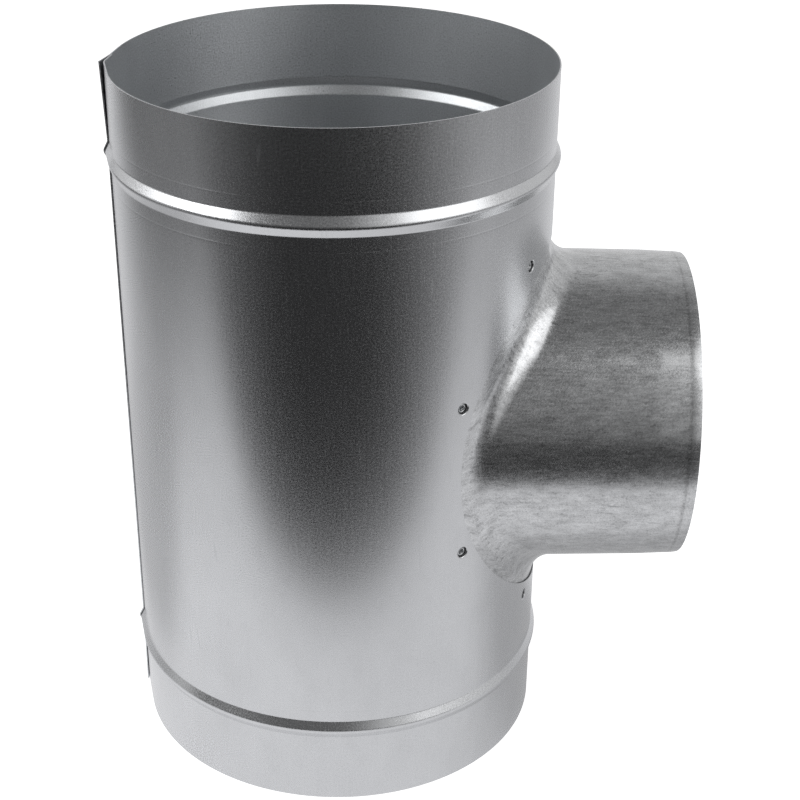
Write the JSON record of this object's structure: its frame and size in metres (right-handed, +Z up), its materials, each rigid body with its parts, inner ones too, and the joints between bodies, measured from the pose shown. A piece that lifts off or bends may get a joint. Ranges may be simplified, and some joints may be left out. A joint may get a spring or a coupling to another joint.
{
  "type": "reducing duct tee",
  "caption": "Round sheet-metal duct tee: straight lapped duct with rolled stop beads and a smaller pressed outlet at right angles, for joining a branch duct.",
  "frame": {"origin": "centre of the duct's lower rim, on the duct's axis", "axes": "+Z up along the duct's axis, +X along the outlet's axis and out of its mouth"},
  "size_m": [0.2677, 0.2032, 0.332],
  "materials": {
    "rolled_sheet": "bright galvanised sheet, fine vertical grain",
    "pressed_sheet": "pressed galvanised sheet, mottled and scuffed along the draw",
    "rivet_steel": "zinc plated, plain"
  },
  "bodies": {
    "root": {"body_tube": "rolled_sheet", "branch_collar": "pressed_sheet", "collar_rivets": "rivet_steel"}
  },
  "joints": []
}
